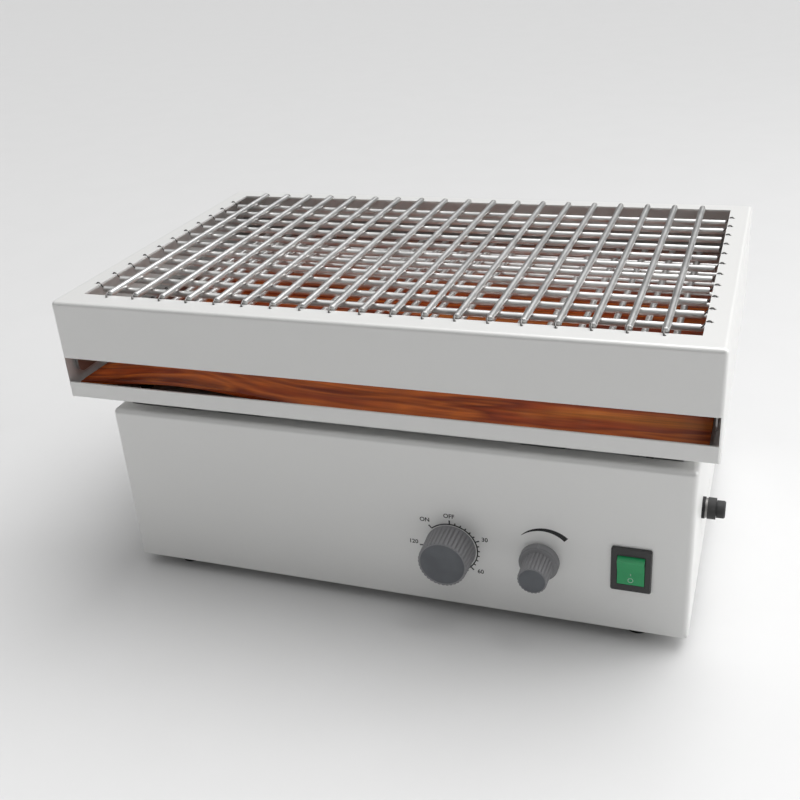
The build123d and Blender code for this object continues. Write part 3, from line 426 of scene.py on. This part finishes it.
@dataclass
class CarriedNodes:
    """The design's own solids that are shown as they are, each with its finish."""

    frame: dict
    finishes: dict[Finish, tuple[str, ...]] = field(default_factory=lambda: {
        Finish.DECK_PAINT: ("deck_hood", "deck_tray"),
        Finish.BASE_PAINT: ("base_cover",),
        Finish.PLATED_SHEET: ("lower_spring_frame", "frame_spacers", "bottom_plate", "motor_bracket",
                              "fuse_washer"),
        Finish.MILLED: ("bearing_blocks", "yoke_channel", "rod_supports", "board_heatsink"),
        Finish.GROUND: ("guide_rods", "linear_bushes", "crank_shaft", "crank_pin", "crank_roller",
                        "crank_bearings", "motor_shaft", "pin_sleeve", "pin_clip"),
        Finish.SCREW: ("deck_screws", "drive_screws", "cover_screws", "foot_screws", "hex_nuts",
                       "inlet_screws", "timer_shaft", "speed_shaft", "board_standoffs"),
        Finish.CAST: ("crank_pulley", "motor_pulley", "crank_pedestal"),
        Finish.MOTOR_PAINT: ("motor_housing",),
        Finish.BRASS: ("switch_contacts", "inlet_pins"),
        Finish.RUBBER: ("rubber_feet", "drive_belt", "board_pads", "fuse_seal"),
        Finish.DARK_PLASTIC: ("board_transformer", "board_capacitors", "timer_body", "speed_pot",
                              "fuse_holder", "fuse_cap", "power_inlet"),
        Finish.SWITCH_BLACK: ("switch_case",),
        Finish.POINTER: ("speed_pointer",),
        Finish.ROCKER: ("switch_rocker",),
        Finish.BOARD_GREEN: ("control_board",),
        Finish.GLASS: ("glass_fuse",),
    })

    def dress(self) -> None:
        """Puts each finish on its nodes."""
        for finish, names in self.finishes.items():
            for name in names:
                mesh = self.frame["nodes"][name].data
                mesh.materials.clear()
                mesh.materials.append(finish.material)
                LOG.info("node %s has %s", name, finish.value.name)


@dataclass
class SpringLayer:
    """One layer of equal close-wound springs, built over its design node."""

    node: str
    count: int
    along_x: bool
    radius: float = 2.4 * MM
    wire: float = 0.5 * MM
    turn: float = 0.9 * MM
    groove: float = 0.06 * MM
    long_inset: float = 6.0 * MM
    cross_inset: float = 4.4 * MM
    sides: int = 10
    seed: int = 3

    def places(self) -> tuple[np.ndarray, float, float, float]:
        """Works out the spring axes from the node's box.

        Returns:
            The cross positions of the springs, the axis height, the middle along the springs and
            half of the length from hole to hole.
        """
        low, high = (np.array(c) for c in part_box(self.node))
        across, along = (1, 0) if self.along_x else (0, 1)
        positions = np.linspace(low[across] + self.radius, high[across] - self.radius, self.count)
        level = low[2] + self.radius if self.along_x else high[2] - self.radius
        middle = (low[along] + high[along]) / 2
        reach = (high[along] - low[along]) / 2 - 0.45 * MM
        return positions, level, middle, reach

    def coil(self, half_length: float) -> tuple[np.ndarray, np.ndarray]:
        """One spring body: a tube whose radius dips by the groove between one turn and the next."""
        rows = int(2 * half_length / self.turn) * 2 + 1
        along = np.linspace(-half_length, half_length, rows)
        radius = self.radius - self.groove * (np.arange(rows) % 2)
        path = np.zeros((rows, 3))
        path[:, 0] = along
        return tube(path, radius, self.sides)

    def hook(self, half_length: float, reach: float) -> tuple[np.ndarray, np.ndarray]:
        """One wire hook: from the coil's end over the rim's edge, then down into its hole.

        Args:
            half_length: where the coil ends.
            reach: where the hole is.

        Returns:
            The points and faces of a tube along the smoothed corners.
        """
        rim = self.radius - self.wire
        if self.along_x:
            over = [(half_length - 1.0 * MM, -0.3 * rim), (half_length + 0.8 * MM, 0.8 * MM),
                    (half_length + 2.2 * MM, 3.0 * MM), (reach - 2.2 * MM, 4.75 * MM),
                    (reach - 0.6 * MM, 4.8 * MM), (reach, 3.9 * MM), (reach, 1.9 * MM)]
        else:
            over = [(half_length - 1.0 * MM, rim), (half_length + 0.7 * MM, 0.7 * rim),
                    (reach - 1.4 * MM, 0.5 * MM), (reach - 0.4 * MM, 0.1 * MM),
                    (reach, -1.0 * MM), (reach, -3.0 * MM)]
        control = np.array([(a, 0.0, b) for a, b in over])
        knots = np.linspace(0, len(control) - 1, 5 * len(control))
        path = np.stack([np.interp(knots, np.arange(len(control)), control[:, k]) for k in range(3)], axis=1)
        kernel = np.array([0.25, 0.5, 0.25])
        for _ in range(4):
            path[1:-1] = np.apply_along_axis(lambda c: np.convolve(c, kernel, "valid"), 0, path)
        side = 0.0 if self.along_x else -0.55 * rim
        path[:, 1] = side * np.linspace(1, 0, len(path))
        return tube(path, self.wire, 7)

    def build(self) -> None:
        """Builds the layer as three pieces of coils and one of hooks, which stand for the node."""
        positions, level, middle, reach = self.places()
        half_length = reach - (self.long_inset if self.along_x else self.cross_inset)
        hook, faces = self.hook(half_length, reach)
        mirrored = hook * np.array([-1.0, -1.0, 1.0])
        hooks = join_shapes([(hook, faces), (mirrored, faces)])
        sag = np.random.default_rng(self.seed).normal(0, 0.12 * MM, self.count)
        places = np.full((self.count, 3), middle)
        places[:, 1 if self.along_x else 0] = positions + sag
        places[:, 2] = level
        parts = [(self.coil(half_length), Finish.SPRING, chosen) for chosen in np.array_split(places, 3)]
        parts.append((hooks, Finish.HOOK, places))
        for number, ((points, quads), finish, chosen) in enumerate(parts, start=1):
            if not self.along_x:
                points = np.stack([-points[:, 1], points[:, 0], points[:, 2]], axis=1)
            piece = make_piece(f"{self.node}_{number}", *repeat_shape(points, quads, chosen))
            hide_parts(self.node)
            settle(piece, finish, "deck")


@dataclass
class FlaskBoard:
    """The thin loose board in the tray, bowed up along its front edge near the left end."""

    rise: float = 11.0 * MM
    crest: float = 0.18
    spread: float = 0.19
    fade: float = 0.30
    thickness: float = 3.0 * MM

    def lift(self, x: np.ndarray, y: np.ndarray, low: np.ndarray, high: np.ndarray) -> np.ndarray:
        """Height of the bow: a smooth hump across the width that fades to nothing behind the front."""
        across = (x - low[0]) / (high[0] - low[0])
        behind = (y - low[1]) / (high[1] - low[1])
        hump = np.exp(-(((across - self.crest) / self.spread) ** 2))
        return self.rise * hump * np.exp(-((behind / self.fade) ** 2))

    def build(self) -> None:
        """Builds the board as a closed slab whose top and bottom follow the same bow."""
        low, high = (np.array(c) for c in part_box("tray_board"))
        columns, rows = 90, 60
        x, y = np.meshgrid(np.linspace(low[0], high[0], columns), np.linspace(low[1], high[1], rows))
        bow = self.lift(x, y, low, high)
        sheets = [np.stack([x, y, z + bow], axis=-1).reshape(-1, 3) for z in (high[2], low[2])]
        top = grid_quads(rows, columns, wrap=False)
        count = rows * columns
        edge = np.concatenate([
            np.arange(columns), np.arange(1, rows) * columns + columns - 1,
            (rows - 1) * columns + np.arange(columns - 2, -1, -1), np.arange(rows - 2, 0, -1) * columns,
        ])
        after = np.roll(edge, -1)
        wall = np.stack([edge + count, after + count, after, edge], axis=1)
        quads = np.concatenate([top, top[:, ::-1] + count, wall])
        piece = make_piece("bowed_board", np.concatenate(sheets), quads, smooth=False)
        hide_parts("tray_board")
        settle(piece, Finish.BOARD, "deck")


@dataclass
class PanelPrint:
    """Dial rings, scale marks, numbers and the speed wedge, printed on the front panel."""

    ring_radius: float = 19.2 * MM
    line: float = 0.85 * MM
    layer: float = 0.06 * MM
    minute_angle: float = 67.0 / 30.0
    long_tick: float = 3.2 * MM
    short_tick: float = 1.7 * MM
    text_height: float = 4.5 * MM
    weight: float = 0.09 * MM
    wedge_radius: float = 21.7 * MM
    labels: dict[str, tuple[float, float]] = field(default_factory=lambda: {
        "ON": (-17.7, 20.6), "OFF": (-0.2, 25.6), "30": (24.5, 10.3), "60": (20.9, -16.3),
        "90": (-9.0, -24.6), "120": (-26.8, 1.4),
    })
    wedge_width: float = 3.6 * MM

    def __post_init__(self) -> None:
        """Finds the panel's face and the knob axes from the design's boxes."""
        self.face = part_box("base_cover")[0][1]
        centres = {}
        for node in ("timer_knob", "speed_knob"):
            low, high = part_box(node)
            centres[node] = ((low[0] + high[0]) / 2, (low[2] + high[2]) / 2)
        self.timer, self.speed = centres["timer_knob"], centres["speed_knob"]

    def strip(self, inner: Callable, outer: Callable, steps: int) -> tuple[np.ndarray, np.ndarray]:
        """A thin raised strip between two lines in the panel's plane, as a closed band.

        Args:
            inner: gives x and z of the inner line for a share from 0 to 1.
            outer: gives x and z of the outer line for the same share.
            steps: number of steps along it.

        Returns:
            The strip's points and faces.
        """
        share = np.linspace(0, 1, steps + 1)
        lines = [np.stack(line(share), axis=-1) for line in (inner, outer)]
        depth = (self.face - self.layer, self.face + 0.02 * MM)
        ring = [
            np.insert(lines[k], 1, depth[d], axis=1) for k, d in ((0, 0), (1, 0), (1, 1), (0, 1))
        ]
        points = np.stack(ring, axis=1)
        points = np.concatenate([points[:1].mean(axis=1, keepdims=True).repeat(4, axis=1), points,
                                 points[-1:].mean(axis=1, keepdims=True).repeat(4, axis=1)])
        return points.reshape(-1, 3), grid_quads(len(points), 4, wrap=True)[:, ::-1]

    def arc(self, centre: tuple[float, float], start: float, end: float, low: Callable, high: Callable,
            steps: int) -> tuple[np.ndarray, np.ndarray]:
        """A strip on a circle: angles run clockwise from the top, radii are functions of the share."""
        def line(radius: Callable) -> Callable:
            def at(share: np.ndarray) -> tuple[np.ndarray, np.ndarray]:
                angle = np.radians(start + (end - start) * share)
                return centre[0] + radius(share) * np.sin(angle), centre[1] + radius(share) * np.cos(angle)
            return at
        return self.strip(line(low), line(high), steps)

    def tick(self, degrees: float, length: float) -> tuple[np.ndarray, np.ndarray]:
        """A radial scale mark on the timer dial."""
        half = math.degrees(self.line / 2 / self.ring_radius)
        return self.arc(self.timer, degrees - half, degrees + half,
                        lambda s: self.ring_radius + 0 * s, lambda s: self.ring_radius + length + 0 * s, 2)

    def words(self, text: str, x: float, z: float) -> None:
        """A word or number in plain letters, centred on a place on the panel."""
        curve = bpy.data.curves.new(f"print_{text}", "FONT")
        curve.body, curve.size = text, self.text_height
        curve.align_x, curve.align_y = "CENTER", "CENTER"
        curve.extrude, curve.offset = self.layer / 2, self.weight
        holder = bpy.data.objects.new(f"print_{text}", curve)
        bpy.context.scene.collection.objects.link(holder)
        bpy.context.view_layer.update()
        mesh = bpy.data.meshes.new_from_object(holder.evaluated_get(bpy.context.evaluated_depsgraph_get()))
        bpy.data.objects.remove(holder)
        turn = Matrix.Rotation(math.radians(90), 4, "X")
        mesh.transform(Matrix.Translation((x, self.face - self.layer / 2 + 0.01 * MM, z)) @ turn)
        piece = bpy.data.objects.new(f"dial_{text}", mesh)
        bpy.context.scene.collection.objects.link(piece)
        settle(piece, Finish.INK, "base")

    def build(self) -> None:
        """Builds the marks as one piece and each word as its own."""
        rim = self.ring_radius
        marks = [self.arc(self.timer, -42, 268, lambda s: rim - self.line / 2 + 0 * s,
                          lambda s: rim + self.line / 2 + 0 * s, 120)]
        marks += [self.tick(minute * self.minute_angle,
                            self.long_tick if minute % 30 == 0 else self.short_tick)
                  for minute in range(0, 121, 5)]
        marks.append(self.tick(-42, self.long_tick))
        centre = (self.speed[0] + 2.9 * MM, self.speed[1] + 2.9 * MM)
        marks.append(self.arc(centre, -46, 43, lambda s: self.wedge_radius - self.wedge_width * s ** 0.7 / 2,
                              lambda s: self.wedge_radius + self.wedge_width * s ** 0.7 / 2 + 0.05 * MM, 48))
        settle(make_piece("dial_marks", *join_shapes(marks), smooth=False), Finish.INK, "base")
        for text, (across, above) in self.labels.items():
            self.words(text, self.timer[0] + across * MM, self.timer[1] + above * MM)


@dataclass
class FlutedKnob:
    """A turned knob with grooves along its grip, a flat sunk face and a closed back.

    The profile is a list of (depth behind the front, radius, share of the groove depth), in
    millimetres. The surface is radius(row) - groove * share(row) * exp(-(phase / width)^2), where
    phase is the distance from the nearest groove as a share of the pitch.
    """

    node: str
    body: str
    profile: tuple[tuple[float, float, float], ...]
    flutes: int
    groove: float = 1.0 * MM
    width: float = 0.15
    face_rows: int = 2
    per_flute: int = 10

    def build(self) -> None:
        """Builds the knob's skin; its face rows take a darker finish, which is painted shade."""
        low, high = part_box(self.node)
        centre = ((low[0] + high[0]) / 2, (low[2] + high[2]) / 2)
        depth, radius, share = np.array(self.profile).T
        columns = self.flutes * self.per_flute
        angle = np.linspace(0, 2 * np.pi, columns, endpoint=False)
        phase = (np.arange(columns) % self.per_flute) / self.per_flute - 0.5
        dip = self.groove * np.exp(-((phase / self.width) ** 2))
        reach = np.maximum(radius[:, None] * MM - share[:, None] * dip[None], 0.0)
        points = np.stack([
            centre[0] + reach * np.sin(angle)[None],
            np.broadcast_to(low[1] + depth[:, None] * MM, reach.shape),
            centre[1] + reach * np.cos(angle)[None],
        ], axis=-1)
        quads = grid_quads(len(depth), columns, wrap=True)
        # The face rows take the second finish, whose darker grey is painted shade on the front-facing disc.
        painted_shade_rows = np.arange(len(quads)) < self.face_rows * columns
        piece = make_piece(f"{self.node}_grip", points.reshape(-1, 3), quads, finish_index=painted_shade_rows)
        piece.data.set_sharp_from_angle(angle=math.radians(32))
        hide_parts(self.node)
        settle(piece, Finish.KNOB, self.body)
        piece.data.materials.append(Finish.KNOB_FACE.material)


@dataclass
class RockerSigns:
    """The stroke and the ring moulded on the rocker's lower half."""

    tilt: float = math.radians(10.0)
    fold: float = 3.2 * MM
    pivot_behind: float = 0.3 * MM
    ring_radius: float = 1.6 * MM
    stroke: float = 0.7 * MM
    wire: float = 0.26 * MM

    def build(self) -> None:
        """Builds both signs as thin rounded lines, half sunk in the lower facet.

        The facet starts at the fold and runs down at twice the tilt; a point of it is
        fold + distance * down, and a sign is drawn with the x axis and that direction.
        """
        low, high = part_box("switch_case")
        back, up = (np.array([0.0, math.cos(self.tilt), math.sin(self.tilt)]),
                    np.array([0.0, -math.sin(self.tilt), math.cos(self.tilt)]))
        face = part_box("base_cover")[0][1]
        pivot = np.array([(low[0] + high[0]) / 2, face + self.pivot_behind, (low[2] + high[2]) / 2])
        down = -math.sin(self.tilt) * back - math.cos(self.tilt) * up
        start = pivot - self.fold * back
        across = np.array([1.0, 0.0, 0.0])
        turn = np.linspace(0, 1.99 * np.pi, 40)
        ring = (start + 6.3 * MM * down)[None] + self.ring_radius * (
            np.cos(turn)[:, None] * across + np.sin(turn)[:, None] * down)
        line = (start + 1.9 * MM * down)[None] + np.linspace(-1, 1, 7)[:, None] * self.stroke * down
        shapes = [tube(ring, self.wire, 8), tube(line, self.wire, 8)]
        settle(make_piece("rocker_signs", *join_shapes(shapes)), Finish.SIGN, "rocker")


@dataclass
class Studio:
    """Pale floor, soft lights and the camera."""

    azimuth: float = 21.23
    elevation: float = 26.27
    roll: float = 4.28
    place: tuple[float, float, float] = (0.2453, -0.6957, 0.4649)
    lens: float = 46.62
    key_power: float = 2.3
    key_softness: float = 50.0
    key_from: tuple[float, float, float] = (0.30, 0.40, 0.87)
    floor_reach: float = 25.0
    backdrop: float = 0.80
    sky_low: float = 0.04
    sky_high: float = 0.98
    side_place: tuple[float, float, float] = (1.6, 0.35, 0.7)
    side_size: float = 1.0
    side_power: float = 10.0

    def camera(self) -> None:
        """Points the camera along the azimuth and elevation, rolled about its own axis."""
        a, e, r = (math.radians(v) for v in (self.azimuth, self.elevation, self.roll))
        forward = np.array([-math.sin(a) * math.cos(e), math.cos(a) * math.cos(e), -math.sin(e)])
        level = np.array([math.cos(a), math.sin(a), 0.0])
        down = np.cross(forward, level)
        right = math.cos(r) * level + math.sin(r) * down
        up = -np.cross(forward, right)
        data = bpy.data.cameras.new("camera")
        data.lens, data.sensor_width = self.lens, 36.0
        data.clip_start, data.clip_end = 0.01, 50.0
        camera = bpy.data.objects.new("camera", data)
        bpy.context.scene.collection.objects.link(camera)
        turn = Matrix((right, up, -forward)).transposed().to_4x4()
        camera.matrix_world = Matrix.Translation(self.place) @ turn
        bpy.context.scene.camera = camera

    def light(self, name: str, place: tuple[float, float, float], size: float, power: float) -> None:
        """A square soft light that faces the machine."""
        data = bpy.data.lights.new(name, "AREA")
        data.size, data.energy = size, power
        lamp = bpy.data.objects.new(name, data)
        bpy.context.scene.collection.objects.link(lamp)
        lamp.location = place
        aim = Matrix.Translation(place).inverted() @ Matrix.Translation((0, 0, 0.12))
        lamp.rotation_mode = "QUATERNION"
        lamp.rotation_quaternion = aim.translation.to_track_quat("-Z", "Y")

    def sun(self) -> None:
        """A very soft key light from overhead, a little behind and to the right."""
        data = bpy.data.lights.new("key", "SUN")
        data.energy, data.angle = self.key_power, math.radians(self.key_softness)
        lamp = bpy.data.objects.new("key", data)
        bpy.context.scene.collection.objects.link(lamp)
        lamp.rotation_mode = "QUATERNION"
        lamp.rotation_quaternion = Vector(self.key_from).to_track_quat("Z", "Y")

    def sky(self) -> None:
        """Surroundings that light with low + high * z^2, where z is the height of the direction.

        Seen straight on they are an even pale tone, so the background stays plain.
        """
        world = bpy.data.worlds.new("studio")
        world.use_nodes = True
        tree = world.node_tree
        coordinates = tree.nodes.new("ShaderNodeTexCoord").outputs["Generated"]
        split = tree.nodes.new("ShaderNodeSeparateXYZ")
        tree.links.new(coordinates, split.inputs["Vector"])
        square = tree.nodes.new("ShaderNodeMath")
        square.operation = "MULTIPLY"
        tree.links.new(split.outputs["Z"], square.inputs[0])
        tree.links.new(split.outputs["Z"], square.inputs[1])
        glow = tree.nodes.new("ShaderNodeMapRange")
        glow.inputs["To Min"].default_value = self.sky_low
        glow.inputs["To Max"].default_value = self.sky_low + self.sky_high
        tree.links.new(square.outputs["Value"], glow.inputs["Value"])
        seen = tree.nodes.new("ShaderNodeMix")
        seen.inputs["B"].default_value = self.backdrop
        tree.links.new(tree.nodes.new("ShaderNodeLightPath").outputs["Is Camera Ray"], seen.inputs["Factor"])
        tree.links.new(glow.outputs["Result"], seen.inputs["A"])
        tree.links.new(seen.outputs["Result"], tree.nodes["Background"].inputs["Strength"])
        tree.nodes["Background"].inputs["Color"].default_value = (1.0, 1.0, 1.0, 1.0)
        bpy.context.scene.world = world
        bpy.context.scene.view_settings.view_transform = "Standard"

    def build(self) -> None:
        """Builds the floor, the lights, the surroundings' glow and the camera."""
        side = np.linspace(-self.floor_reach, self.floor_reach, 2)
        x, y = np.meshgrid(side, side)
        points = np.stack([x, y, 0 * x - 0.0002], axis=-1).reshape(-1, 3)
        floor = make_piece("floor", points, grid_quads(2, 2, wrap=False))
        floor.data.materials.append(Finish.FLOOR.material)
        self.light("side", self.side_place, self.side_size, self.side_power)
        self.sun()
        self.sky()
        self.camera()


def main() -> None:
    """Loads the design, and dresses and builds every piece."""
    logging.basicConfig(level=logging.INFO, format="%(name)s: %(message)s")
    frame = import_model()
    Studio().build()
    CarriedNodes(frame).dress()
    SpringLayer("upper_long_springs", 11, along_x=True, seed=1).build()
    SpringLayer("upper_cross_springs", 19, along_x=False, seed=2).build()
    SpringLayer("lower_long_springs", 11, along_x=True, seed=3).build()
    SpringLayer("lower_cross_springs", 19, along_x=False, seed=4).build()
    FlaskBoard().build()
    PanelPrint().build()
    RockerSigns().build()
    FlutedKnob("timer_knob", "timer", TIMER_PROFILE, 36).build()
    FlutedKnob("speed_knob", "speed", SPEED_PROFILE, 24, groove=0.9 * MM).build()


if __name__ == "__main__":
    main()
